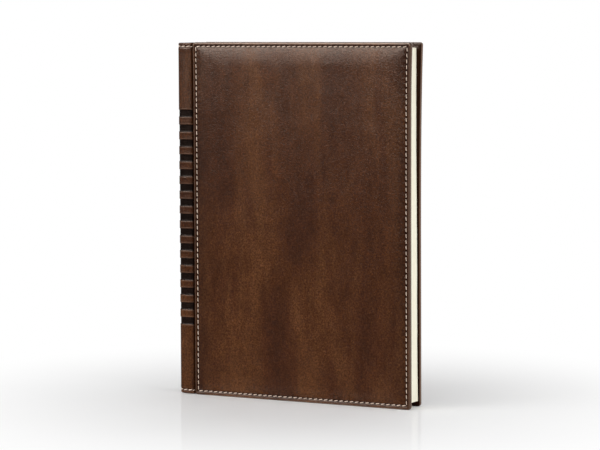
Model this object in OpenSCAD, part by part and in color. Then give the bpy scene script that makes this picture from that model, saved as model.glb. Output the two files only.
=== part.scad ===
// Hardbound planner standing on its tail edge, front cover towards -Y, spine towards -X.
// Each cover is a board with foam and leather over it, and a leather spine joins the two.
// Each cover swings about the groove beside the spine. The origin is the middle of the footprint.

/* [Case] */
// Height of the case, head to tail
cover_h = 210; // [160:1:300]
// Width of the case, back of the spine to fore-edge
cover_w = 151; // [100:1:220]
// Radius of the corners of each cover
corner_r = 1.6; // [1.3:0.1:2]

/* [Cover layers] */
// Thickness of the leather
leather_t = 0.6; // [0.5:0.05:0.75]
// Thickness of the leather where it is pared and turned in
turn_t = 0.3; // [0.2:0.05:0.5]
// Width of the leather turned in over the board
turn_w = 14; // [8:0.5:20]
// Thickness of each cover board
board_t = 1.8; // [1.4:0.1:3]
// Height of the foam in the middle of a padded cover
foam_t = 1.1; // [0.9:0.05:2]
// Thickness of the endpaper
paper_t = 0.2; // [0.1:0.05:0.3]
// Leather left bare round the endpaper
endpaper_margin = 3; // [2:0.5:8]

/* [Padded panel] */
// Distance of the sewn seam from the edge of a cover
seam_in = 2.2; // [1.6:0.1:4]
// Height of the foam under the rolled rim outside the seam
rim_foam = 0.6; // [0.5:0.05:0.8]
// Height of the foam squeezed under the seam
seam_foam = 0.2; // [0.1:0.05:0.4]
// Radius of the rolled rim
rim_r = 1.2; // [1:0.05:1.4]
// Width over which the padding rises from the seam to its full height
pad_rise = 6; // [3:0.5:12]

/* [Pages] */
// Thickness of the trimmed pages
block_t = 10.6; // [8:0.2:24]
// Inset of the pages from the fore-edge of the covers
fore_square = 1.3; // [1:0.1:4]
// Inset of the pages from the head and tail of the covers
end_square = 3.2; // [2:0.1:5]
// Gap between the pages and the endpaper of a closed cover
page_gap = 0.2; // [0.1:0.05:0.5]

/* [Spine] */
// Distance of the wall of the groove from the back of the spine
strip_w = 10.6; // [8:0.1:14]
// Width of the groove between the strip and the edge of the cover
groove_w = 1; // [0.8:0.1:3]
// Radius of the shoulder between the back of the spine and the strip
shoulder_r = 2.5; // [2.2:0.1:3.5]
// Radius of the lip of the strip at the groove
lip_r = 1; // [0.8:0.1:1.2]
// Angle that the back of the spine turns through from its middle to the shoulder
back_turn = 12; // [6:1:18]
// Angle that the strip turns through from its crest to each edge
strip_turn = 12; // [8:1:20]
// Thickness of the moulded spine card
card_t = 1; // [0.6:0.1:1.2]
// Thickness of the cloth lining on the back of the pages
lining_t = 0.3; // [0.2:0.05:0.4]
// Hollow between the lining and the turned-in leather of the spine
hollow_gap = 0.9; // [0.5:0.1:1.5]
// Distance by which the spine stops short of the head and tail of the covers
spine_short = 0.3; // [0.1:0.1:1]

/* [Pressed bands] */
// Number of bands pressed into the spine and its strips
band_count = 15; // [1:1:19]
// Height of one band
band_h = 4.1; // [2:0.1:6]
// Distance from one band to the next
band_pitch = 8.85; // [7:0.05:10]
// Depth of a band
band_depth = 0.3; // [0.1:0.05:0.4]
// Height of the middle band above the middle of the case
band_lift = 1; // [-4:0.5:4]

/* [Head and tail bands] */
// Radius of the bead at the head and tail of the spine
bead_r = 0.8; // [0.5:0.1:1]
// Height of the tape that holds a bead to the back of the pages
tape_h = 10; // [5:1:20]

/* [Hidden] */
$fn = 64;

// Overshoot of a cutter past the surface it cuts
over = 1;

// Layers of a closed cover, and half of the whole thickness
cover_t = leather_t + foam_t + board_t + turn_t + paper_t;
half_t = block_t / 2 + page_gap + cover_t;
// Distance of the outer face of a board from the middle plane
board_v = half_t - leather_t - foam_t;

// Heights above the outer face of the board
rim_h = rim_foam + leather_t;
seam_h = seam_foam + leather_t;
crown_h = foam_t + leather_t;
inner_h = -board_t - turn_t;
// Radius of the edge between the cover's edge and its inner face
inner_r = 0.4;

// Radius of the fillet at the foot of the groove, and the slit left for the hinge
fillet_r = 0.4;
hinge_gap = 0.3;
// Angle at which the bands run out on the lip
lip_end = -70;

// Levels of the strip and of the groove from the middle plane
crest_v = board_v + leather_t;
groove_v = block_t / 2 + leather_t;
cover_s = strip_w + groove_w;

// Radius of the strip, so that back, shoulder, strip and lip are tangent and end at the groove
back_slope = tan(back_turn / 2);
strip_r = (strip_w - shoulder_r - lip_r - back_slope * (crest_v - shoulder_r * cos(strip_turn))
    + (shoulder_r + lip_r) * sin(strip_turn)) / (2 * sin(strip_turn) - back_slope * (1 - cos(strip_turn)));

// Centres of those arcs, from the groove back to the middle of the spine
lip_c = [strip_w - lip_r, crest_v - strip_r + (strip_r - lip_r) * cos(strip_turn)];
strip_c = [lip_c[0] - (strip_r - lip_r) * sin(strip_turn), crest_v - strip_r];
shoulder_c = strip_c + (strip_r - shoulder_r) * aim(strip_turn);
back_r = shoulder_r + shoulder_c[1] / sin(back_turn);
back_c = [back_r, 0];
fillet_c = [strip_w + fillet_r, groove_v + fillet_r];

// Rounded back of the pages, inside the spine's leather, card, turn-in and hollow
block_r = back_r - leather_t - card_t - turn_t - hollow_gap - lining_t;
block_angle = asin(block_t / 2 / block_r);
lining_angle = asin((block_t / 2 - lining_t) / block_r);
bead_angle = asin((block_t / 2 - bead_r) / block_r);

// Direction of a normal that leans by the angle a from the front or back towards the spine
function aim(a) = [-sin(a), cos(a)];

// Points along an arc whose normal turns from angle a0 to a1, as [s, v, angle]
function turn(centre, r, a0, a1, steps) =
    [for (i = [0 : steps]) let (a = a0 + (a1 - a0) * i / steps) [centre[0] - r * sin(a), centre[1] + r * cos(a), a]];

// Outer profile of half the spine: what the card backs, what the bands cross, and all of it
CARD = concat(
    turn(back_c, back_r, 90, 90 - back_turn, 2),
    turn(shoulder_c, shoulder_r, 90 - back_turn, strip_turn, 5),
    turn(strip_c, strip_r, strip_turn, -strip_turn, 4)
);
BANDED = concat(CARD, turn(lip_c, lip_r, -strip_turn, lip_end, 3));
HALF = concat(
    BANDED,
    turn(lip_c, lip_r, lip_end, -90, 1),
    turn(fillet_c, -fillet_r, -90, 0, 2),
    [[cover_s - hinge_gap, groove_v, 0]]
);

// A profile moved inwards, then joined to its mirror image on the other side of the middle plane
function inward(path, off) = [for (p = path) [p[0] + off * sin(p[2]), p[1] - off * cos(p[2])]];
function backwards(path) = [for (i = [len(path) - 1 : -1 : 0]) path[i]];
function mirrored(path) = [for (p = backwards(path)) [p[0], -p[1]]];
function whole(path, off) = concat(mirrored(inward(path, off)), inward(path, off));

// The layer of a profile between two depths below the outer surface
module layer_2d(path, from, to) {
    polygon(concat(whole(path, from), backwards(whole(path, to))));
}

// Height of the outer leather at distance d from the edge of a cover
function pad_h(d) =
    d < rim_r ? rim_h - rim_r + sqrt(rim_r * rim_r - pow(rim_r - d, 2)) :
    d < seam_in ? seam_h + (rim_h - seam_h) * cos(90 * (d - rim_r) / (seam_in - rim_r)) :
    d < seam_in + pad_rise ? seam_h + (crown_h - seam_h) * sin(90 * (d - seam_in) / pad_rise) :
    crown_h;

// Distances from the edge at which the padded surface is drawn
function pad_steps(from) = concat(
    [for (a = [0 : 22.5 : 67.5]) let (d = rim_r * (1 - cos(a))) if (d > from) d],
    [for (i = [0 : 3]) rim_r + (seam_in - rim_r) * i / 4],
    [for (i = [0 : 6]) seam_in + pad_rise * i / 6]
);

// Section across a cover of the given length, as [distance, height above the board]
function pad_edge(from, drop) = concat([[from, pad_h(from) - drop]], [for (d = pad_steps(from)) [d, pad_h(d) - drop]]);
function section(length, low, from, drop) =
    let (edge = pad_edge(from, drop), foot = from > 0 ? [[from, low]] : [[inner_r, low], [0, low + inner_r]])
    let (side = concat(foot, edge))
    concat(side, [for (p = backwards(side)) [length - p[0], p[1]]]);

// Padded cover: one section along the hinge and fore-edge, one along head and tail, mitred at the corners
module padded_solid(low, from, drop) {
    length = cover_w - cover_s;
    mitre = min(length, cover_h) / 2;
    end_wedge = [[0, 0], [length, 0], [length - mitre, mitre], [mitre, mitre]];
    translate([cover_s, board_v, 0]) {
        difference() {
            linear_extrude(cover_h) polygon(section(length, low, from, drop));
            through_panel(end_wedge);
            translate([0, 0, cover_h]) mirror([0, 0, 1]) through_panel(end_wedge);
        }
        intersection() {
            translate([length, 0, 0]) rotate([0, -90, 0])
                linear_extrude(length) polygon(section(cover_h, low, from, drop));
            union() {
                through_panel(end_wedge);
                translate([0, 0, cover_h]) mirror([0, 0, 1]) through_panel(end_wedge);
            }
        }
    }
}

// Prism over an outline on a panel's face, through all its layers
module through_panel(outline) {
    translate([0, cover_t, 0]) rotate([90, 0, 0]) linear_extrude(2 * cover_t) polygon(outline);
}

// Rounded outline of a cover, as a slab through its thickness
module outline_slab() {
    length = cover_w - cover_s;
    corners = [
        [corner_r, corner_r, 180], [length - corner_r, corner_r, 270],
        [length - corner_r, cover_h - corner_r, 0], [corner_r, cover_h - corner_r, 90]
    ];
    points = [for (c = corners) for (i = [0 : 4]) let (a = c[2] + 22.5 * i)
        [c[0] + corner_r * cos(a), c[1] + corner_r * sin(a)]];
    translate([cover_s, half_t + over, 0]) rotate([90, 0, 0])
        linear_extrude(cover_t + 2 * over) polygon(points);
}

// A box in cover coordinates: from the hinge edge, from the tail, and by height above the board
module cover_box(s0, s1, z0, z1, h0, h1) {
    translate([s0, board_v + h0, z0]) cube([s1 - s0, h1 - h0, z1 - z0]);
}

// Places a piece of the back cover, or its mirror image for the front cover
module on_cover(front) {
    translate([-cover_w / 2, 0, 0]) mirror([0, front ? 1 : 0, 0]) children();
}

module board() {
    cover_box(cover_s + leather_t, cover_w - leather_t, leather_t, cover_h - leather_t, -board_t, 0);
}

module padding() {
    padded_solid(0, leather_t, leather_t);
}

// Opening in the turned-in leather, which shows the board
module turn_in_window(h0, h1, inset) {
    cover_box(cover_s + leather_t + inset, cover_w - turn_w - inset,
        turn_w + inset, cover_h - turn_w - inset, h0, h1);
}

// Leather round a padded board, turned in over its head, tail and fore-edge
module cover_leather() {
    difference() {
        intersection() {
            padded_solid(inner_h, 0, 0);
            outline_slab();
        }
        board();
        padding();
        turn_in_window(inner_h - over, -board_t / 2, 0);
    }
}

// Endpaper pasted over the turned-in leather, with the step that the leather's edge makes in it
module endpaper() {
    s0 = cover_s + leather_t;
    s1 = cover_w - endpaper_margin;
    z0 = endpaper_margin;
    z1 = cover_h - endpaper_margin;
    difference() {
        cover_box(s0, s1, z0, z1, inner_h - paper_t, -board_t);
        difference() {
            cover_box(s0 - over, s1 + over, z0 - over, z1 + over, inner_h, -board_t + over);
            turn_in_window(inner_h - over, -board_t + 2 * over, 0);
        }
        turn_in_window(inner_h - paper_t - over, -board_t - paper_t, paper_t);
    }
}

// Leather over the spine, its strips and both grooves, with the bands pressed into it
module spine_leather() {
    first_band = (cover_h - (band_count - 1) * band_pitch - band_h) / 2 + band_lift;
    color("saddlebrown") translate([-cover_w / 2, 0, 0]) difference() {
        union() {
            translate([0, 0, spine_short])
                linear_extrude(cover_h - 2 * spine_short) layer_2d(HALF, 0, leather_t);
            for (z = [spine_short, cover_h - spine_short - turn_w]) translate([0, 0, z])
                linear_extrude(turn_w) layer_2d(CARD, leather_t / 2, leather_t + card_t + turn_t);
        }
        card_pocket();
        for (i = [0 : band_count - 1])
            translate([0, 0, first_band + i * band_pitch])
                linear_extrude(band_h) layer_2d(BANDED, -over / 2, band_depth);
    }
}

// Space between the leather and its turn-in that the spine card fills
module card_pocket() {
    z0 = spine_short + leather_t;
    translate([0, 0, z0])
        linear_extrude(cover_h - 2 * z0) layer_2d(CARD, leather_t, leather_t + card_t);
}

module spine_card() {
    color("tan") translate([-cover_w / 2, 0, 0]) card_pocket();
}

// Trimmed pages with a rounded back and the hollow fore-edge that comes with it
module text_block() {
    fore_c = [cover_w - fore_square + block_r * cos(block_angle), 0];
    outline = concat(
        turn(back_c, block_r, 90 + block_angle, 90 - block_angle, 8),
        turn(fore_c, block_r, 90 - block_angle, 90 + block_angle, 8)
    );
    color("ivory") translate([-cover_w / 2, 0, end_square])
        linear_extrude(cover_h - 2 * end_square) polygon(inward(outline, 0));
}

// A ring section about the axis of the rounded back, reaching angle a to each side of the spine
module round_back(a) {
    translate([back_r - cover_w / 2, 0, 0]) rotate([0, 0, 180 - a]) rotate_extrude(angle = 2 * a) children();
}

module spine_lining() {
    z0 = end_square + tape_h + page_gap;
    color("gainsboro") round_back(lining_angle)
        translate([block_r, z0]) square([lining_t, cover_h - 2 * z0]);
}

// Woven bead on the end of the pages, with its tape glued to their back
module end_band() {
    color("burlywood") round_back(bead_angle) {
        translate([block_r, -tape_h]) square([lining_t, tape_h + bead_r]);
        translate([block_r + lining_t - bead_r, bead_r]) circle(bead_r);
    }
}

module head_band() { translate([0, 0, cover_h - end_square]) end_band(); }
module tail_band() { translate([0, 0, end_square]) mirror([0, 0, 1]) end_band(); }

module front_board() { color("tan") on_cover(true) board(); }
module front_padding() { color("lightyellow") on_cover(true) padding(); }
module front_leather() { color("saddlebrown") on_cover(true) cover_leather(); }
module front_endpaper() { color("beige") on_cover(true) endpaper(); }

module back_board() { color("tan") on_cover(false) board(); }
module back_padding() { color("lightyellow") on_cover(false) padding(); }
module back_leather() { color("saddlebrown") on_cover(false) cover_leather(); }
module back_endpaper() { color("beige") on_cover(false) endpaper(); }

text_block();
spine_lining();
head_band();
tail_band();
spine_card();
spine_leather();
front_board();
front_padding();
front_leather();
front_endpaper();
back_board();
back_padding();
back_leather();
back_endpaper();
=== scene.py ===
"""Looks of the hardbound planner: stitched leather skins, sewing, paper, light and camera.

Lengths are in millimetres until a point is placed. A place is given as s, the distance from the
back of the spine, v, the distance from the middle plane of the pages, and z, the height.
"""
import math

import bpy
from mathutils import Matrix, Vector, noise


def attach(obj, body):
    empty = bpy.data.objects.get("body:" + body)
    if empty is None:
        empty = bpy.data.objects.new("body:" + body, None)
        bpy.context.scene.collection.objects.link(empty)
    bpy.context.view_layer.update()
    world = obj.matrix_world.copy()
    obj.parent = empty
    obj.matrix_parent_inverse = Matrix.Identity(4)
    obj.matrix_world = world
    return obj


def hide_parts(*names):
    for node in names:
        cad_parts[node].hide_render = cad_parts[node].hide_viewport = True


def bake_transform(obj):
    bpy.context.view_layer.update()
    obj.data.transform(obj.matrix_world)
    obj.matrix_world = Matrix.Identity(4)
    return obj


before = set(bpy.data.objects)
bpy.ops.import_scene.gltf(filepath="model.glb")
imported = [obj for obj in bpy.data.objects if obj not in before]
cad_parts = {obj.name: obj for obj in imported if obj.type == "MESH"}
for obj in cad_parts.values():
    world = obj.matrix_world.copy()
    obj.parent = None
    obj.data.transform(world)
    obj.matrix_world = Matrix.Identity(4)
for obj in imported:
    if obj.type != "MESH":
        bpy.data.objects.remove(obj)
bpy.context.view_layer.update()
bpy.context.scene.view_settings.view_transform = "Standard"
MM = 0.001

# Driving dimensions of the case, the same as in the part's source
COVER_H = 210
COVER_W = 151
CORNER_R = 1.6
LEATHER_T = 0.6
TURN_W = 14  # leather turned in over an edge
CARD_STACK = 1.9  # leather, card and turned-in leather of the spine
STRIP_W = 10.6  # from the back of the spine to the groove
GROOVE_W = 1
SHOULDER_R = 2.5
LIP_R = 1
FILLET_R = 0.4
BACK_TURN = 12  # degrees
STRIP_TURN = 12  # degrees
BLOCK_HALF = 5.3  # half the thickness of the pages
BOARD_V = 7.8  # outer face of a board
END_SQUARE = 3.2  # cover past the pages at head and tail
FORE_SQUARE = 1.3  # the same at the fore-edge
SPINE_SHORT = 0.3  # how much shorter the spine is at each end
HOLLOW = 1.2  # from the turned-in leather to the back of the pages

# Padded panel: rolled rim, sewn seam and foam. Heights are above the board's outer face
SEAM_IN = 2.2  # seam from the hinge side and the fore-edge
SEAM_END = 2.45  # seam from the head and the tail
RIM_R = 1.2
RIM_H = 1.2
SEAM_H = 0.65
CREASE_RISE = 0.2
CREASE_W = 0.6
CUSHION_RISE = 0.95
CUSHION_W = 12
SOFT_CORNER = 0.8  # how far in the corners are softened, as a share of the distance
SWELL = 0.13  # broad unevenness of the foam
SWELL_CELL = (24, 34)
DIMPLE = 0.04  # fine unevenness of the foam
DIMPLE_CELL = (9, 11)
EVEN_RIM = 6  # width beside the edge where the foam lies even
HOLE_DEPTH = 0.1
HOLE_W = 0.5
PUCKER_DEPTH = 0.05
PUCKER_IN = 1.3  # from the seam
PUCKER_W = 0.9

# Edges of the covers, drawn outwards near the head and the tail
TAIL_FLARE = 0.3
FORE_FLARE = {1: (1.2, 3), -1: (0.8, 7)}  # at the head, by side: length and steepness
HINGE_FLARE = 0.35

# Turned-in margin of a cover's leather, from its edge inwards: inset, height above the board's
# outer face, share of painted shade (the inner face, in shade beside the pages), share of painted
# highlight (the edge face). At the hinge nothing is turned in.
HINGE_TURN = 0.45
INNER_H = -2.1
MARGIN = [
    (0, -0.6, 0, 0.35),
    (0, -1.35, 0, 0.35),
    (0.05, -1.75, 0.1, 0.3),
    (0.2, -2.0, 0.6, 0),
    (HINGE_TURN, INNER_H, 0.9, 0),
    (1.5, INNER_H, 0.8, 0),
    (TURN_W, INNER_H, 0.4, 0),
    (TURN_W + 0.1, INNER_H + 0.25, 0.4, 0),
]

# Pressed bands
BAND_COUNT = 15
BAND_H = 4.1
BAND_PITCH = 8.85
BAND_LIFT = 1  # how far above the middle of the spine the row of bands is centred
BAND_DEPTH = 0.3
BAND_WALL = 0.14  # half the height over which a band's edge slopes
BAND_RIDGE = 0.04

# Sewing thread
STITCH_PITCH = 3.3
STITCH_L = 2.4
THREAD_R = 0.22
SLANT = 0.5
SLANT_UPRIGHT = 0.2
SPINE_SEAM_DEPTH = 0.3
SPINE_HOLE_DEPTH = 0.12
SPINE_PUCKER = 0.08

# How much painted shade (a darker tone where shade falls) or painted highlight (a paler tone along
# rims and edges) the leather gets in each place, and how widely
SEAM_SHADE_W = 0.72
SIDE_SHADE = 0.45
SIDE_SHADE_W = 7
END_SHADE = 0.9
SPINE_SHADE = 0.16
GROOVE_SHADE = 0.42
GROOVE_SHADE_W = 3.6
# Painted highlight along the rims and along the bars' edges
SIDE_HIGHLIGHT = 0.3
HIGHLIGHT_W = 0.3
BAR_HIGHLIGHT = 0.14
BAR_HIGHLIGHT_W = 0.25

# Rear leaves: they lean out at the tail, less and less up to LEAN_FROM, and in at the head,
# more and more up to LEAN_TO
TAIL_LEAN = 0.6
HEAD_LEAN = 0.68
LEAN_FROM = 70
LEAN_TO = 165
PAGE_WAVE = 0.06  # unevenness of the fore-edge

# Grid lines, close together where the shape turns
GRID_STEP = STITCH_PITCH / 4
PAGE_STEP = 3
SPINE_STEP = 1.5
RIM_ANGLES = (0, 20, 40, 60, 78)
SEAM_SHARES = (0.15, 0.45, 0.75, 1)
PAD_STEPS = (0.25, 0.55, 0.95, 1.5, 2.1, 2.8, 3.7)
BAND_STEPS = (-1.1, -0.55, -BAND_WALL, 0, BAND_WALL, 0.7)
SPINE_SEAM_LINES = [1.35, 1.7, 2.0, 2.3, SEAM_END, 2.95, 3.3, 3.7, 4.2]
SPINE_ROLL = 0.9  # how far the rolled end of the spine's leather reaches
SPINE_ROLL_ANGLES = (0, 30, 60, 90, 120, 150)
SPINE_SKIN_GAP = 0.3  # from the spine's leather to the cover, in the groove
GROOVE_RUN = 1.5  # length of the profile that lies in a groove

# Sheets that cross a hinge: points along each, as s from the end of the strip, and v
GROOVE_ROUTE = [
    (0.12, 7.6), (0.14, 6.9), (0.25, 6.25), (0.52, 5.98), (0.78, 6.2), (0.9, 6.9), (0.94, 7.6),
]
LEAF_ROUTE = [
    (-3.1, 5.34), (-1.4, 5.34), (0, 5.35), (0.6, 5.37), (1.2, 5.4), (2, 5.44), (3.4, 5.46),
]

# Mottling of the leather: cells per millimetre, and where in the noise it starts
CLOUD_CELLS = (0.052, 0.052, 0.0095)
CLOUD_SHIFT = (15.4, 0, 2.9)

COVER_S = STRIP_W + GROOVE_W
PANEL_L = COVER_W - COVER_S
CREST_V = BOARD_V + LEATHER_T
GROOVE_V = BLOCK_HALF + LEATHER_T


def place(s, v, z, side=1):
    """A point in the row frame. side is 1 for the back half and -1 for the front half."""
    return ((s - COVER_W / 2) * MM, side * v * MM, z * MM)


def mesh_piece(name, points, faces, materials, painted_shade_shares=(), edges=()):
    """A smooth-shaded object.

    The two lists of shares say, point by point, how much painted shade and how much painted
    highlight the leather gets.
    """
    mesh = bpy.data.meshes.new(name)
    mesh.from_pydata(points, [], faces)
    # Stored as the point attributes crease (painted shade) and edge (painted highlight)
    for painted_light, shares in (("crease", painted_shade_shares), ("edge", edges)):
        if shares:
            mesh.attributes.new(painted_light, "FLOAT", "POINT").data.foreach_set("value", shares)
    for material in materials:
        mesh.materials.append(material)
    mesh.polygons.foreach_set("use_smooth", [True] * len(mesh.polygons))
    piece = bpy.data.objects.new(name, mesh)
    bpy.context.scene.collection.objects.link(piece)
    return piece


def grid_faces(rows, columns, flip=False):
    """Quads between neighbouring rows of equal length."""
    faces = []
    for i in range(rows - 1):
        for j in range(columns - 1):
            a = i * columns + j
            quad = (a, a + 1, a + columns + 1, a + columns)
            faces.append(quad[::-1] if flip else quad)
    return faces


def spread(low, high, step):
    """Even values from low to high, about step apart."""
    count = max(1, round((high - low) / step))
    return [low + (high - low) * i / count for i in range(count + 1)]


def eased(value, low, high):
    """0 up to low and 1 from high on, with a smooth step between them."""
    t = min(max((value - low) / (high - low), 0), 1)
    return t * t * (3 - 2 * t)


def bump(distance, width):
    """1 at distance 0, falling smoothly to 0 over the width."""
    return math.exp(-(distance / width) ** 2)


# Node helpers

def new_material(name):
    """A node material, with its nodes, its links and its surface shader."""
    material = bpy.data.materials.new(name)
    material.use_nodes = True
    nodes = material.node_tree.nodes
    return material, nodes, material.node_tree.links, nodes["Principled BSDF"]


def object_point(nodes, links, scale, shift=(0, 0, 0)):
    """Object coordinates in millimetres, stretched along each axis by scale, and shifted."""
    where = nodes.new("ShaderNodeTexCoord")
    stretch = nodes.new("ShaderNodeMapping")
    stretch.inputs["Scale"].default_value = [value / MM for value in scale]
    stretch.inputs["Location"].default_value = shift
    links.new(where.outputs["Object"], stretch.inputs["Vector"])
    return stretch.outputs["Vector"]


def noise_value(nodes, links, scale, detail=4, rough=0.55, warp=0, shift=(0, 0, 0)):
    """Noise whose cells are about 1 / scale millimetres along each axis."""
    texture = nodes.new("ShaderNodeTexNoise")
    texture.inputs["Scale"].default_value = 1
    texture.inputs["Detail"].default_value = detail
    texture.inputs["Roughness"].default_value = rough
    texture.inputs["Distortion"].default_value = warp
    links.new(object_point(nodes, links, scale, shift), texture.inputs["Vector"])
    return texture.outputs["Fac"]


def ramp(nodes, links, value, stops):
    """Colour ramp through (position, colour) stops."""
    node = nodes.new("ShaderNodeValToRGB")
    elements = node.color_ramp.elements
    while len(elements) < len(stops):
        elements.new(0.5)
    for element, (position, colour) in zip(elements, stops):
        element.position = position
        element.color = (*colour, 1)
    links.new(value, node.inputs["Fac"])
    return node.outputs["Color"]


def mixed(nodes, links, kind, factor, first, second):
    """Mix node of two colours; factor and second may be plain values."""
    node = nodes.new("ShaderNodeMix")
    node.data_type = "RGBA"
    node.blend_type = kind
    for name, value in (("Factor", factor), ("A", first), ("B", second)):
        socket = next(s for s in node.inputs if s.name == name and s.enabled)
        if isinstance(value, bpy.types.NodeSocket):
            links.new(value, socket)
        else:
            socket.default_value = value
    return next(s for s in node.outputs if s.enabled)


def shaded(nodes, links, colour, value, stops):
    """The colour, multiplied by a ramp of the value."""
    return mixed(nodes, links, "MULTIPLY", 1.0, colour, ramp(nodes, links, value, stops))


def toned(nodes, links, value, colour, dark, full=0.7):
    """The colour where the value is above full, and darker by the share dark where it is low."""
    return ramp(nodes, links, value, [(0.3, [c * dark for c in colour]), (full, colour)])


def add_bump(nodes, links, height, strength, distance, under=None):
    """Bump node on top of an earlier one."""
    node = nodes.new("ShaderNodeBump")
    node.inputs["Strength"].default_value = strength
    node.inputs["Distance"].default_value = distance * MM
    links.new(height, node.inputs["Height"])
    if under:
        links.new(under, node.inputs["Normal"])
    return node.outputs["Normal"]


def painted_light_share(nodes, name):
    """Per-point share of painted shade (the crease attribute) and painted highlight (the edge
    attribute), whichever is named.
    """
    node = nodes.new("ShaderNodeAttribute")
    node.attribute_name = name
    return node.outputs["Fac"]


def pebbles(nodes, links):
    """Rounded cells of about a millimetre, with furrows between them."""
    cells = nodes.new("ShaderNodeTexVoronoi")
    cells.feature = "DISTANCE_TO_EDGE"
    cells.inputs["Scale"].default_value = 1
    links.new(object_point(nodes, links, (1.15, 1.15, 1.15)), cells.inputs["Vector"])
    return ramp(nodes, links, cells.outputs["Distance"], [(0.0, (0, 0, 0)), (0.25, (1, 1, 1))])


def leather(name, dark, mid, warm, crease, edge, shine):
    """Mottled leather: cloudy streaks, flecks and pebbled grain, with a painted shade tone
    (crease) and a painted highlight tone (edge) mixed in by each point's shares.
    """
    material, nodes, links, surface = new_material(name)
    cloud = noise_value(nodes, links, CLOUD_CELLS, rough=0.5, warp=0.4, shift=CLOUD_SHIFT)
    colour = ramp(nodes, links, cloud, [(0.36, dark), (0.5, mid), (0.66, warm)])
    patch = noise_value(nodes, links, (0.12, 0.12, 0.07), detail=6, rough=0.68)
    stops = [(0.3, (0.8, 0.79, 0.78)), (0.7, (1.2, 1.21, 1.22))]
    colour = shaded(nodes, links, colour, patch, stops)
    fleck = noise_value(nodes, links, (0.95, 0.95, 0.95), detail=3, rough=0.7)
    stops = [(0.36, (0.58, 0.57, 0.56)), (0.5, (1, 1, 1)), (0.66, (1.5, 1.53, 1.57))]
    colour = shaded(nodes, links, colour, fleck, stops)
    wrinkle = noise_value(nodes, links, (0.3, 0.3, 0.16), rough=0.6, warp=1.5)
    stops = [(0.46, (0.96, 0.95, 0.94)), (0.5, (1.4, 1.43, 1.46)), (0.54, (0.96, 0.95, 0.94))]
    colour = shaded(nodes, links, colour, wrinkle, stops)
    # Painted highlight in the edge tone and painted shade in the crease tone, by each point's
    # shares
    for painted_light, tone in (("edge", edge), ("crease", crease)):
        colour = mixed(nodes, links, "MIX", painted_light_share(nodes, painted_light), colour, (*tone, 1))
    links.new(colour, surface.inputs["Base Color"])
    normal = add_bump(nodes, links, pebbles(nodes, links), 0.35, 0.1)
    normal = add_bump(nodes, links, fleck, 0.35, 0.16, normal)
    normal = add_bump(nodes, links, patch, 0.25, 0.3, normal)
    links.new(normal, surface.inputs["Normal"])
    gloss = ramp(nodes, links, patch, [(0.25, (0.19,) * 3), (0.75, (0.27,) * 3)])
    links.new(gloss, surface.inputs["Roughness"])
    surface.inputs["Specular IOR Level"].default_value = shine
    surface.inputs["Specular Tint"].default_value = (1, 0.84, 0.72, 1)
    return material


def thread(name, colour):
    """Twisted sewing thread."""
    material, nodes, links, surface = new_material(name)
    fuzz = noise_value(nodes, links, (2.4, 2.4, 2.4))
    links.new(toned(nodes, links, fuzz, colour, 0.72), surface.inputs["Base Color"])
    twist = nodes.new("ShaderNodeTexWave")
    twist.bands_direction = "DIAGONAL"
    twist.inputs["Scale"].default_value = 0.45
    twist.inputs["Distortion"].default_value = 1
    links.new(object_point(nodes, links, (1, 1, 1)), twist.inputs["Vector"])
    links.new(add_bump(nodes, links, twist.outputs["Fac"], 0.5, 0.12), surface.inputs["Normal"])
    surface.inputs["Roughness"].default_value = 0.7
    surface.inputs["Specular IOR Level"].default_value = 0.2
    return material


def page_edges(name, colour):
    """Paper with the fine lines of the leaves along its cut edges."""
    material, nodes, links, surface = new_material(name)
    leaves = noise_value(nodes, links, (0.03, 9, 0.03), detail=3)
    tone = toned(nodes, links, leaves, colour, 0.9, full=0.6)
    bundle = noise_value(nodes, links, (0.012, 0.28, 0.012), detail=1)
    tone = shaded(nodes, links, tone, bundle, [(0.42, (1, 0.97, 0.95)), (0.56, (1, 1, 1))])
    links.new(tone, surface.inputs["Base Color"])
    links.new(add_bump(nodes, links, leaves, 0.35, 0.08), surface.inputs["Normal"])
    surface.inputs["Roughness"].default_value = 0.85
    return material


def fibrous(name, colour, cells, rough, dark, strength, relief, dull):
    """Paper or board, with flecks of fibre of about 1 / cells millimetres."""
    material, nodes, links, surface = new_material(name)
    fibre = noise_value(nodes, links, (cells,) * 3, detail=8, rough=rough)
    links.new(toned(nodes, links, fibre, colour, dark), surface.inputs["Base Color"])
    links.new(add_bump(nodes, links, fibre, strength, relief), surface.inputs["Normal"])
    surface.inputs["Roughness"].default_value = dull
    return material


def woven(name, first, second, size):
    """Cloth of two threads in a plain weave."""
    material, nodes, links, surface = new_material(name)
    weave = nodes.new("ShaderNodeTexChecker")
    weave.inputs["Scale"].default_value = 1
    weave.inputs["Color1"].default_value = (*first, 1)
    weave.inputs["Color2"].default_value = (*second, 1)
    links.new(object_point(nodes, links, (size, size, size)), weave.inputs["Vector"])
    links.new(weave.outputs["Color"], surface.inputs["Base Color"])
    links.new(add_bump(nodes, links, weave.outputs["Fac"], 0.4, 0.15), surface.inputs["Normal"])
    surface.inputs["Roughness"].default_value = 0.9
    return material


# Padded panel

def pad_height(d):
    """Height of the outer leather above the board at distance d from the cover's edge."""
    if d < RIM_R:
        return RIM_H - RIM_R + math.sqrt(max(RIM_R ** 2 - (RIM_R - d) ** 2, 0))
    if d < SEAM_IN:
        share = (d - RIM_R) / (SEAM_IN - RIM_R)
        return SEAM_H + (RIM_H - SEAM_H) * math.cos(math.pi / 2 * share) ** 1.5
    crease = 1 - math.exp((SEAM_IN - d) / CREASE_W)
    cushion = 1 - max(1 - (d - SEAM_IN) / CUSHION_W, 0) ** 2
    return SEAM_H + CREASE_RISE * crease + CUSHION_RISE * cushion


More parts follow.
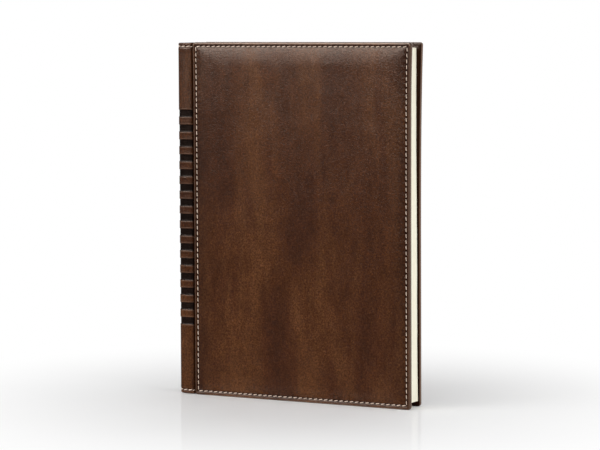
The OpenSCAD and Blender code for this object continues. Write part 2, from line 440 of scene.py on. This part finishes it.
def edge_steps(length, seam_in):
    """Distances across a panel: close together at the rim and the seam, even in the middle."""
    rim = [RIM_R * (1 - math.cos(math.radians(a))) for a in RIM_ANGLES]
    seam = [RIM_R + (seam_in - RIM_R) * t for t in SEAM_SHARES]
    pad = [seam_in + t for t in PAD_STEPS]
    near = rim + seam + pad
    middle = spread(near[-1], length - near[-1], GRID_STEP)
    return near[:-1] + middle + [length - d for d in reversed(near[:-1])]


def rounded(a, b):
    """Moves a point of a square-cornered panel so that the panel's corners are round."""
    da, db = min(a, PANEL_L - a), min(b, COVER_H - b)
    if da >= CORNER_R or db >= CORNER_R:
        return a, b
    u, w = 1 - da / CORNER_R, 1 - db / CORNER_R
    da = CORNER_R * (1 - u * math.sqrt(1 - w * w / 2))
    db = CORNER_R * (1 - w * math.sqrt(1 - u * u / 2))
    return (da if a < PANEL_L / 2 else PANEL_L - da), (db if b < COVER_H / 2 else COVER_H - db)


def end_distance(d):
    """Distance from the head or tail, squeezed so that its seam counts as far in as the others."""
    if d > SEAM_END:
        return d - SEAM_END + SEAM_IN
    return d if d < RIM_R else RIM_R + (d - RIM_R) * (SEAM_IN - RIM_R) / (SEAM_END - RIM_R)


def edge_distance(a, b):
    """Distance from the panel's edge, with softened corners further in."""
    da, db = min(a, PANEL_L - a), end_distance(min(b, COVER_H - b))
    if da < CORNER_R and db < CORNER_R:
        return max(CORNER_R - math.hypot(CORNER_R - da, CORNER_R - db), 0)
    near = min(da, db)
    soft = SOFT_CORNER * max(near - CORNER_R, 0)
    if soft == 0:
        return near
    t = max(soft - abs(da - db), 0) / soft
    return near - t * t * soft / 4


def flare(a, b, side):
    """How far the edges of a cover are drawn outwards near the head and tail."""
    lean = abs(2 * b / COVER_H - 1)
    across = a / PANEL_L
    if b < COVER_H / 2:
        return TAIL_FLARE * lean * across ** 3
    reach, power = FORE_FLARE[side]
    return reach * lean ** power * across ** 3 - HINGE_FLARE * lean ** 5 * (1 - across) ** 8


def puckers(a, b, d):
    """Dents at the needle holes and small puckers beside the seam."""
    upright = min(a, PANEL_L - a) < min(b, COVER_H - b)
    along, length, inset = (b, COVER_H, SEAM_END) if upright else (a, PANEL_L, SEAM_IN)
    phase = (along - inset) / stitch_step(length - 2 * inset)
    hole = math.cos(2 * math.pi * phase)
    dent = HOLE_DEPTH * max(hole, 0) ** 3 * bump(d - SEAM_IN, HOLE_W)
    return -dent - PUCKER_DEPTH * hole * bump(d - SEAM_IN - PUCKER_IN, PUCKER_W)


def panel_height(a, b, seed):
    """Height of the padded leather above the board."""
    d = edge_distance(a, b)
    uneven = 0
    for rise, cell in ((SWELL, SWELL_CELL), (DIMPLE, DIMPLE_CELL)):
        uneven += rise * noise.noise(Vector((a / cell[0], b / cell[1], seed)))
    return pad_height(d) + puckers(a, b, d) + (1 - bump(d, EVEN_RIM)) * uneven


def stitch_step(length):
    """Pitch that fits a whole number of stitches into a row."""
    return length / round(length / STITCH_PITCH)


def cover_painted_light(a, b, d):
    """Painted shade and painted highlight on a point of a cover's outer face: shade in the seam's
    valley and beside the hinge and the fore-edge, highlight along the rims, most at the head.
    """
    # Painted shade: darker in the seam's valley and, more broadly, beside the hinge and the
    # fore-edge
    crease = max(bump(d - SEAM_IN, SEAM_SHADE_W),
                 SIDE_SHADE * bump(min(a, PANEL_L - a) - SEAM_IN, SIDE_SHADE_W))
    # Painted highlight: a pale line along the rim at the head, fainter along the other rims
    at_head = COVER_H - b < 2
    edge = bump(d - 0.6, HIGHLIGHT_W) if at_head else SIDE_HIGHLIGHT * bump(max(d - 0.5, 0), HIGHLIGHT_W)
    return crease, edge


def cover_skin(name, side, materials):
    """Leather round a padded board: outer face, edges and the turned-in margin."""
    across, up = edge_steps(PANEL_L, SEAM_IN), edge_steps(COVER_H, SEAM_END)
    columns = len(across)
    outline, points, painted_light = [], [], []
    for z in up:
        for s in across:
            a, b = rounded(s, z)
            outline.append((a, b))
            height = BOARD_V + panel_height(a, b, side)
            points.append(place(COVER_S + a + flare(a, b, side), height, b, side))
            # Painted shade and painted highlight of each point of the outer face
            painted_light.append(cover_painted_light(a, b, edge_distance(a, b)))
    faces = grid_faces(len(up), columns, flip=side < 0)
    last = (len(up) - 1) * columns
    ring = list(range(columns)) + [i * columns + columns - 1 for i in range(1, len(up))]
    ring += [last + j for j in range(columns - 2, -1, -1)]
    ring += [i * columns for i in range(len(up) - 2, 0, -1)]
    previous = ring
    # The turned-in margin carries painted shade on its inner face and painted highlight on its
    # edge faces
    for inset, height, crease, edge in MARGIN:
        painted_light += [(crease, edge)] * len(ring)
        current = []
        for index in ring:
            a, b = inset_point(*outline[index], inset)
            current.append(len(points))
            points.append(place(COVER_S + a + flare(a, b, side), BOARD_V + height, b, side))
        for k in range(len(ring)):
            quad = (previous[k], previous[k - 1], current[k - 1], current[k])
            faces.append(quad if side < 0 else quad[::-1])
        previous = current
    faces.append(previous if side > 0 else previous[::-1])
    painted_shade_shares, edges = zip(*painted_light)
    return mesh_piece(name, points, faces, materials, painted_shade_shares, edges)


def inset_point(a, b, inset):
    """Moves a point of a cover's rounded outline inwards, though hardly on the hinge side."""
    core_a = min(max(a, CORNER_R), PANEL_L - CORNER_R)
    core_b = min(max(b, CORNER_R), COVER_H - CORNER_R)
    if inset < CORNER_R:
        share = 1 - inset / CORNER_R
        return core_a + (a - core_a) * share, core_b + (b - core_b) * share
    inner_a = min(max(core_a, min(inset, HINGE_TURN)), PANEL_L - inset)
    return inner_a, min(max(core_b, inset), COVER_H - inset)


# Sewing

def stitch(points, faces, centre, along, across, out, slant):
    """Adds one stitch: a short thread that dives into the leather at both ends."""
    rings, sides = 9, 8
    start = len(points)
    for i in range(rings):
        t = 2 * i / (rings - 1) - 1
        # Towards its ends the thread sinks and thins
        middle = centre + along * (t * STITCH_L / 2) + across * (t * slant / 2)
        middle = middle + out * (THREAD_R * (0.75 - 1.5 * t ** 4))
        radius = THREAD_R * (1 - 0.35 * t ** 6)
        for k in range(sides):
            angle = 2 * math.pi * k / sides
            beside = across * (radius * math.cos(angle))
            points.append(middle + beside + out * (radius * 0.85 * math.sin(angle)))
    for i in range(rings - 1):
        for k in range(sides):
            a, b = start + i * sides + k, start + i * sides + (k + 1) % sides
            faces.append((a, a + sides, b + sides, b))
    faces.append([start + k for k in range(sides)])
    faces.append([start + (rings - 1) * sides + k for k in reversed(range(sides))])


def thread_piece(name, stitches, side, material):
    """All stitches of one row of sewing, as one piece.

    Each stitch is (centre, along, across, out, slant), in s, v and z.
    """
    points, faces = [], []
    for centre, along, across, out, slant in stitches:
        stitch(points, faces, Vector(centre), Vector(along), Vector(across), Vector(out), slant)
    placed = [place(*point, side) for point in points]
    faces = [face if side < 0 else face[::-1] for face in faces]
    return mesh_piece(name, placed, faces, [material])


def row_centres(length):
    """Middles of the stitches along a row that starts and ends at a seam's corner."""
    step = stitch_step(length)
    return [step * (i + 0.5) for i in range(round(length / step))]


def panel_stitches(side):
    """Four rows of stitches round a padded panel."""
    upright = ((0, 0, 1), (-1, 0, 0), SLANT_UPRIGHT)
    level = ((1, 0, 0), (0, 0, 1), SLANT)
    found = []
    for t in row_centres(COVER_H - 2 * SEAM_END):
        for a in (SEAM_IN, PANEL_L - SEAM_IN):
            found.append((a, SEAM_END + t, *upright))
    for t in row_centres(PANEL_L - 2 * SEAM_IN):
        for b in (SEAM_END, COVER_H - SEAM_END):
            found.append((SEAM_IN + t, b, *level))
    stitches = []
    for a, b, along, across, slant in found:
        centre = (COVER_S + a + flare(a, b, side), BOARD_V + SEAM_H, b)
        stitches.append((centre, along, across, (0, 1, 0), -side * slant))
    return stitches


# Spine

def outward(angle):
    """Direction (s, v) at an angle in degrees from the one that a cover faces."""
    return -math.sin(math.radians(angle)), math.cos(math.radians(angle))


def turn(centre, r, first, last, step):
    """Points along an arc whose normal turns between two angles, as (s, v, angle)."""
    angles = spread(min(first, last), max(first, last), math.degrees(step / abs(r)))
    if first > last:
        angles.reverse()
    arc = []
    for angle in angles:
        out = outward(angle)
        arc.append((centre[0] + r * out[0], centre[1] + r * out[1], angle))
    return arc


def spine_arcs():
    """Radii and centres of the spine's arcs: the back, the shoulder, the strip and its lip."""
    sin_turn, cos_turn = math.sin(math.radians(STRIP_TURN)), math.cos(math.radians(STRIP_TURN))
    slope = math.tan(math.radians(BACK_TURN / 2))
    strip_r = (STRIP_W - SHOULDER_R - LIP_R - slope * (CREST_V - SHOULDER_R * cos_turn)
               + (SHOULDER_R + LIP_R) * sin_turn) / (2 * sin_turn - slope * (1 - cos_turn))
    lip_c = (STRIP_W - LIP_R, CREST_V - strip_r + (strip_r - LIP_R) * cos_turn)
    strip_c = (lip_c[0] - (strip_r - LIP_R) * sin_turn, CREST_V - strip_r)
    shoulder_c = (strip_c[0] - (strip_r - SHOULDER_R) * sin_turn,
                  strip_c[1] + (strip_r - SHOULDER_R) * cos_turn)
    back_r = SHOULDER_R + shoulder_c[1] / math.sin(math.radians(BACK_TURN))
    return back_r, shoulder_c, strip_c, strip_r, lip_c


def half_profile(step):
    """Outer profile of half the spine, from the middle of its back to the end of the groove."""
    back_r, shoulder_c, strip_c, strip_r, lip_c = spine_arcs()
    path = turn((back_r, 0), back_r, 90, 90 - BACK_TURN, step)
    path += turn(shoulder_c, SHOULDER_R, 90 - BACK_TURN, STRIP_TURN, step)[1:]
    path += turn(strip_c, strip_r, STRIP_TURN, -STRIP_TURN, step)[1:]
    path += turn(lip_c, LIP_R, -STRIP_TURN, -90, step / 2)[1:]
    path += turn((STRIP_W + FILLET_R, GROOVE_V + FILLET_R), -FILLET_R, -90, 0, step / 2)
    return path + [(COVER_S - SPINE_SKIN_GAP, GROOVE_V, 0)]


def spine_path(step):
    """The whole outer profile, front groove to back groove, with the length run so far."""
    half = half_profile(step)
    front = [(s, -v, 180 - a) for s, v, a in reversed(half[1:])]
    path, run = [], 0
    for s, v, a in front + half:
        if path:
            run += math.hypot(s - path[-1][0], v - path[-1][1])
        path.append((s, v, a, run))
    return path


def band_lines():
    """Heights of the grid lines that the bands need, and the foot of the lowest band."""
    first = (COVER_H - (BAND_COUNT - 1) * BAND_PITCH - BAND_H) / 2 + BAND_LIFT
    lines = []
    for i in range(BAND_COUNT):
        low, high = first + i * BAND_PITCH, first + i * BAND_PITCH + BAND_H
        lines += [low + t for t in BAND_STEPS] + [(low + high) / 2]
        lines += [high - t for t in reversed(BAND_STEPS)]
    return lines, first


def nearest_band(z, first):
    """Height of the foot of the band that is nearest to z."""
    index = min(max(round((z - first - BAND_H / 2) / BAND_PITCH), 0), BAND_COUNT - 1)
    return first + index * BAND_PITCH


def band_depth(z, first):
    """Depth of the pressed bands at height z, less the ridge that stands beside each of them."""
    low = nearest_band(z, first)
    inside = min(z - low, low + BAND_H - z)
    sunk = min(max((inside + BAND_WALL) / (2 * BAND_WALL), 0), 1)
    return BAND_DEPTH * sunk - BAND_RIDGE * bump(inside + 0.5, 0.4)


def spine_section(lines):
    """Heights up the spine, each with its share of the turned-in leather's depth.

    The leather's end is rolled inwards at the tail, rises over the bands, and is rolled in again
    at the head.
    """
    lower = SPINE_SEAM_LINES + spread(5, lines[0] - 0.9, SPINE_STEP)
    upper = SPINE_SEAM_LINES + spread(5, COVER_H - lines[-1] - 0.9, SPINE_STEP)
    end = [(TURN_W, 1), (6, 1), (1.4, 1)]
    for angle in SPINE_ROLL_ANGLES:
        roll = math.radians(angle)
        end.append((SPINE_SHORT + SPINE_ROLL * (1 - math.sin(roll)), 0.5 + math.cos(roll) / 2))
    face = lower + lines + [COVER_H - z for z in reversed(upper)]
    return end + [(z, 0) for z in face] + [(COVER_H - z, share) for z, share in reversed(end)]


def spine_skin(materials):
    """Leather over the spine: outer face with bands and seams, and both ends rolled inwards."""
    path = spine_path(STITCH_PITCH / 8)
    length = path[-1][3]
    lines, first = band_lines()
    section = spine_section(lines)
    points, pressed, painted_shade_shares, edges = [], [], [], []
    for z, share in section:
        for s, v, angle, run in path:
            near = min(run, length - run)
            depth, banded = share * inner_depth(near), band_share(near)
            if share == 0:
                depth += band_depth(z, first) * banded + seam_depth(z, run, length)
                # Painted shade in the seams' valleys, down into the grooves and over the whole
                # strip; painted highlight along the bars' edges
                end_shade = END_SHADE * bump(min(z, COVER_H - z) - SEAM_END, 0.6)
                painted_shade_shares.append(max(end_shade, groove_shade(near), SPINE_SHADE))
                edges.append(painted_bar_highlight(z, first) * banded)
                pressed.append(band_depth(z, first) > BAND_DEPTH * 0.4 and banded > 0.5)
            else:
                painted_shade_shares.append(0)
                edges.append(0)
                pressed.append(False)
            out = outward(angle)
            points.append(place(s - out[0] * depth, v - out[1] * depth, z))
    piece = mesh_piece("spine_skin", points, grid_faces(len(section), len(path)), materials,
                       painted_shade_shares, edges)
    for face in piece.data.polygons:
        face.material_index = int(sum(pressed[i] for i in face.vertices) >= 2)
    return piece


def groove_shade(near):
    """Painted shade on the leather where it runs down into a groove."""
    return GROOVE_SHADE * bump(max(near - GROOVE_RUN, 0), GROOVE_SHADE_W)


def painted_bar_highlight(z, first):
    """Painted highlight along the edges of the leather that stands between two bands."""
    outside = abs(z - nearest_band(z, first) - BAND_H / 2) - BAND_H / 2
    return BAR_HIGHLIGHT * bump(outside - 0.5, BAR_HIGHLIGHT_W)


def band_share(near):
    """1 where the bands cross the spine and the strips, 0 in the grooves."""
    return min(max((near - GROOVE_RUN) / 0.4, 0), 1)


def inner_depth(near):
    """Depth of the turned-in leather: past leather and card, but leather alone in the groove."""
    return LEATHER_T + (CARD_STACK - LEATHER_T) * eased(near, 1.2, 3.7)


def seam_depth(z, run, length):
    """Dip along the sewn rows at head and tail, deeper at the needle holes."""
    d = min(z, COVER_H - z) - SEAM_END
    hole = max(math.cos(2 * math.pi * run / stitch_step(length)), 0)
    dip = SPINE_SEAM_DEPTH + SPINE_HOLE_DEPTH * hole
    return dip * bump(d, 0.75) - SPINE_PUCKER * bump(d - 1.6, 0.8)


def spine_stitches():
    """Rows across the spine at head and tail, following its profile."""
    path = spine_path(0.2)
    found = []
    for middle in row_centres(path[-1][3]):
        s, v, angle = min(path, key=lambda point: abs(point[3] - middle))[:3]
        out = Vector((*outward(angle), 0))
        along = Vector((out[1], -out[0], 0))
        for z in (SEAM_END, COVER_H - SEAM_END):
            centre = Vector((s, v, z)) - out * SPINE_SEAM_DEPTH
            found.append((centre, along, Vector((0, 0, -1)), out, SLANT))
    return found


def page_lean(z):
    """How far the rearmost leaves lean: outwards at the tail and inwards at the head."""
    tail = max(1 - z / LEAN_FROM, 0) ** 2
    return TAIL_LEAN * tail - HEAD_LEAN * eased(z, LEAN_FROM, LEAN_TO)


def page_block(materials):
    """Pages with a rounded back and a hollow fore-edge, whose rear leaves lean a little."""
    back_r = spine_arcs()[0]
    block_r = back_r - CARD_STACK - HOLLOW
    angle = math.degrees(math.asin(BLOCK_HALF / block_r))
    fore_s = COVER_W - FORE_SQUARE + block_r * math.cos(math.radians(angle))
    back = turn((back_r, 0), block_r, 90 - angle, 90 + angle, 0.7)
    fore = turn((fore_s, 0), block_r, 90 + angle, 90 - angle, 0.35)
    flat = spread(back[-1][0], fore[0][0], 6)[1:-1]
    outline = [point[:2] for point in back] + [(s, -BLOCK_HALF) for s in flat]
    outline += [point[:2] for point in fore] + [(s, BLOCK_HALF) for s in reversed(flat)]
    heights = spread(END_SQUARE, COVER_H - END_SQUARE, PAGE_STEP)
    points, faces = [], []
    for z in heights:
        for s, v in outline:
            lean = (0.5 + v / BLOCK_HALF / 2) * (s / COVER_W) ** 8 * page_lean(z)
            wave = PAGE_WAVE * noise.noise(Vector((s / 40, v * 1.5, z / 14))) * (s > COVER_W - 5)
            points.append(place(s + lean + wave, v, z))
    count = len(outline)
    for i in range(len(heights) - 1):
        for j in range(count):
            a, b = i * count + j, i * count + (j + 1) % count
            faces.append((a, b, b + count, a + count))
    faces += [list(range(count))[::-1], [len(points) - count + j for j in range(count)]]
    piece = mesh_piece("pages", points, faces, materials)
    for face in piece.data.polygons:
        face.material_index = int(abs(face.normal.y) > 0.9)
    piece.data.set_sharp_from_angle(angle=math.radians(35))
    return piece


def joint_sheet(name, side, route, short, materials):
    """Narrow sheet along the hinge, through the points of its route and short of both ends."""
    heights = spread(short, COVER_H - short, PAGE_STEP)
    points = [place(STRIP_W + ds, v, z, side) for z in heights for ds, v in route]
    faces = grid_faces(len(heights), len(route), flip=side < 0)
    piece = mesh_piece(name, points, faces, materials)
    smooth = piece.modifiers.new("smooth", "SUBSURF")
    smooth.levels = smooth.render_levels = 1
    with bpy.context.temp_override(object=piece, active_object=piece):
        bpy.ops.object.modifier_apply(modifier="smooth")
    return piece


# Assembly

# Linear colours
THREAD_TONE = (0.87, 0.67, 0.53)
PAGE_TONE = (0.9, 0.875, 0.72)
ENDPAPER_TONE = (0.7, 0.66, 0.55)
BOARD_TONE = (0.42, 0.38, 0.32)
BEAD_TONES = (0.6, 0.45, 0.28), (0.22, 0.11, 0.06)
CLOTH_TONES = (0.72, 0.7, 0.64), (0.6, 0.58, 0.53)

# In each leather, crease is the tone of the painted shade and edge the tone of the painted
# highlight
hide = leather(
    "brown_leather", dark=(0.031, 0.0077, 0.0017), mid=(0.041, 0.0113, 0.0026),
    warm=(0.064, 0.0212, 0.006), crease=(0.011, 0.003, 0.0012), edge=(0.38, 0.26, 0.19),
    shine=0.07)
pressed_hide = leather(
    "pressed_leather", dark=(0.005, 0.0024, 0.0018), mid=(0.007, 0.0033, 0.0025),
    warm=(0.009, 0.0045, 0.0033), crease=(0.003, 0.002, 0.0015), edge=(0.03, 0.018, 0.012),
    shine=0.02)
sewing = thread("sewing_thread", THREAD_TONE)
endpaper = fibrous("cream_endpaper", ENDPAPER_TONE, cells=0.5, rough=0.7, dark=0.96, strength=0.15,
                   relief=0.05, dull=0.9)
grey_board = fibrous("grey_board", BOARD_TONE, cells=1.5, rough=0.75, dark=0.8, strength=0.3,
                     relief=0.1, dull=0.95)

NODE_LOOKS = {
    "spine_lining": woven("lining_cloth", *CLOTH_TONES, 1.6),
    "head_band": woven("head_band_weave", *BEAD_TONES, 1.1),
    "tail_band": woven("tail_band_weave", *BEAD_TONES, 1.1),
    "spine_card": grey_board,
    "front_board": grey_board,
    "back_board": grey_board,
    "front_endpaper": endpaper,
    "back_endpaper": endpaper,
}


def dress_nodes():
    """Gives every CAD node that stays in view its material."""
    for node, material in NODE_LOOKS.items():
        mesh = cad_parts[node].data
        mesh.materials.clear()
        mesh.materials.append(material)


def add_cover(word, side):
    """Leather, sewing, and the sheets that cross the hinge of one cover."""
    body = word + "_cover"
    skin = cover_skin(word + "_skin", side, [hide])
    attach(skin, body)
    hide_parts(word + "_leather", word + "_padding")
    rows = thread_piece(word + "_sewing", panel_stitches(side), side, sewing)
    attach(rows, body)
    fold = joint_sheet(word + "_groove", side, GROOVE_ROUTE, 0.8, [hide])
    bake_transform(fold)
    leaf = joint_sheet(word + "_endpaper_fold", side, LEAF_ROUTE, END_SQUARE, [endpaper])
    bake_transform(leaf)


def add_spine():
    """Leather and sewing of the spine."""
    skin = spine_skin([hide, pressed_hide])
    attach(skin, "spine_and_pages")
    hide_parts("spine_leather")
    rows = thread_piece("spine_sewing", spine_stitches(), 1, sewing)
    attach(rows, "spine_and_pages")
    pages = page_block([page_edges("page_edges", PAGE_TONE), endpaper])
    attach(pages, "spine_and_pages")
    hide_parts("text_block")


# Studio

# Place in metres, angles in degrees, lens in millimetres
CAMERA_AT = (0.6065, -1.2395, 0.223)
CAMERA_YAW = 26.0
CAMERA_PITCH = 4.963
CAMERA_ROLL = -0.2
CAMERA_LENS = 141.85
CAMERA_SENSOR = 36
WORLD_LIGHT = 0.6
MIRROR_SHARE = 0.12
FADE = (0.05, 0.26)  # distances from the middle between which the table fades away, in metres
TABLE_HALF = 6  # metres

# Lamps: name, place and aim in metres, size in metres, watts, and whether it lights surfaces
# or gives highlights only
LAMPS = [
    ("key", (-0.8, -0.8, 0.6), (0, 0, 0.06), (0.7, 0.7), 5, True),
    ("fill", (1.5, -0.1, 0.9), (0, 0, 0.1), (1.2, 1.2), 10, True),
    ("sheen", (-0.72, -1.48, 0.78), (0, 0, 0.2), (1.5, 0.52), 110, False),
    ("overhead", (-0.3, -0.35, 1.6), (0, 0, 0.2), (1.2, 1.2), 150, False),
]


def add_camera():
    """Camera whose place, angles and lens were fitted to the photo's corners and edges."""
    yaw, pitch = math.radians(CAMERA_YAW), math.radians(CAMERA_PITCH)
    level = Vector((-math.sin(yaw), math.cos(yaw), 0))
    forward = level * math.cos(pitch) - Vector((0, 0, math.sin(pitch)))
    right = Vector((math.cos(yaw), math.sin(yaw), 0))
    turned = Matrix((right, right.cross(forward), -forward)).transposed().to_4x4()
    roll = Matrix.Rotation(math.radians(CAMERA_ROLL), 4, "Z")
    camera = bpy.data.objects.new("camera", bpy.data.cameras.new("camera"))
    camera.data.lens = CAMERA_LENS
    camera.data.sensor_width = CAMERA_SENSOR
    camera.data.clip_start = 0.01
    camera.matrix_world = Matrix.Translation(CAMERA_AT) @ turned @ roll
    bpy.context.scene.collection.objects.link(camera)
    bpy.context.scene.camera = camera


def add_light(name, at, towards, size, power, lights):
    """Soft rectangular lamp."""
    lamp = bpy.data.lights.new(name, "AREA")
    lamp.shape = "RECTANGLE"
    lamp.size, lamp.size_y = size
    lamp.energy = power
    light = bpy.data.objects.new(name, lamp)
    light.location = at
    light.rotation_euler = (Vector(towards) - Vector(at)).to_track_quat("-Z", "Y").to_euler()
    light.visible_diffuse = lights
    bpy.context.scene.collection.objects.link(light)


def seen_ray(nodes, links):
    """1 for rays that show the background: seen directly, mirrored or through glass."""
    path = nodes.new("ShaderNodeLightPath")
    share = path.outputs["Is Camera Ray"]
    for ray in ("Is Glossy Ray", "Is Transmission Ray"):
        either = nodes.new("ShaderNodeMath")
        either.operation = "MAXIMUM"
        links.new(share, either.inputs[0])
        links.new(path.outputs[ray], either.inputs[1])
        share = either.outputs[0]
    return share


def add_world():
    """Soft light from all round, in front of a white background."""
    world = bpy.data.worlds.new("studio")
    bpy.context.scene.world = world
    world.use_nodes = True
    nodes, links = world.node_tree.nodes, world.node_tree.links
    seen, light = nodes.new("ShaderNodeBackground"), nodes["Background"]
    seen.inputs["Color"].default_value = (1, 1, 1, 1)
    light.inputs["Color"].default_value = (1, 1, 1, 1)
    light.inputs["Strength"].default_value = WORLD_LIGHT
    mix = nodes.new("ShaderNodeMixShader")
    links.new(seen_ray(nodes, links), mix.inputs[0])
    links.new(light.outputs[0], mix.inputs[1])
    links.new(seen.outputs[0], mix.inputs[2])
    links.new(mix.outputs[0], nodes["World Output"].inputs["Surface"])


def table_top(nodes, links, surface):
    """Shader of a pale matt table with a faint mirror image."""
    cloud = noise_value(nodes, links, (0.01, 0.01, 0.01), detail=2)
    tone = ramp(nodes, links, cloud, [(0.3, (0.93,) * 3), (0.7, (0.95,) * 3)])
    links.new(tone, surface.inputs["Base Color"])
    surface.inputs["Roughness"].default_value = 0.9
    surface.inputs["Specular IOR Level"].default_value = 0
    mirror = nodes.new("ShaderNodeBsdfGlossy")
    mirror.inputs["Roughness"].default_value = 0.05
    polished = nodes.new("ShaderNodeMixShader")
    polished.inputs[0].default_value = MIRROR_SHARE
    links.new(surface.outputs[0], polished.inputs[1])
    links.new(mirror.outputs[0], polished.inputs[2])
    return polished.outputs[0]


def faded(nodes, links):
    """1 where the background shows in place of the table, to the rays that show the background."""
    where, away = nodes.new("ShaderNodeTexCoord"), nodes.new("ShaderNodeVectorMath")
    away.operation = "LENGTH"
    links.new(where.outputs["Object"], away.inputs[0])
    fade = nodes.new("ShaderNodeMapRange")
    fade.interpolation_type = "SMOOTHSTEP"
    fade.inputs["From Min"].default_value, fade.inputs["From Max"].default_value = FADE
    links.new(away.outputs["Value"], fade.inputs["Value"])
    share = nodes.new("ShaderNodeMath")
    share.operation = "MULTIPLY"
    links.new(seen_ray(nodes, links), share.inputs[0])
    links.new(fade.outputs[0], share.inputs[1])
    return share.outputs[0]


def add_floor():
    """Pale table, fading into the white background around the object."""
    material, nodes, links, surface = new_material("white_table")
    white, whole = nodes.new("ShaderNodeEmission"), nodes.new("ShaderNodeMixShader")
    links.new(faded(nodes, links), whole.inputs[0])
    links.new(table_top(nodes, links, surface), whole.inputs[1])
    links.new(white.outputs[0], whole.inputs[2])
    links.new(whole.outputs[0], nodes["Material Output"].inputs["Surface"])
    near, far = -TABLE_HALF, TABLE_HALF
    corners = [(near, near, 0), (far, near, 0), (far, far, 0), (near, far, 0)]
    mesh_piece("table", corners, [(0, 1, 2, 3)], [material])


add_camera()
add_world()
add_floor()
for lamp_values in LAMPS:
    add_light(*lamp_values)
dress_nodes()
add_spine()
add_cover("front", -1)
add_cover("back", 1)
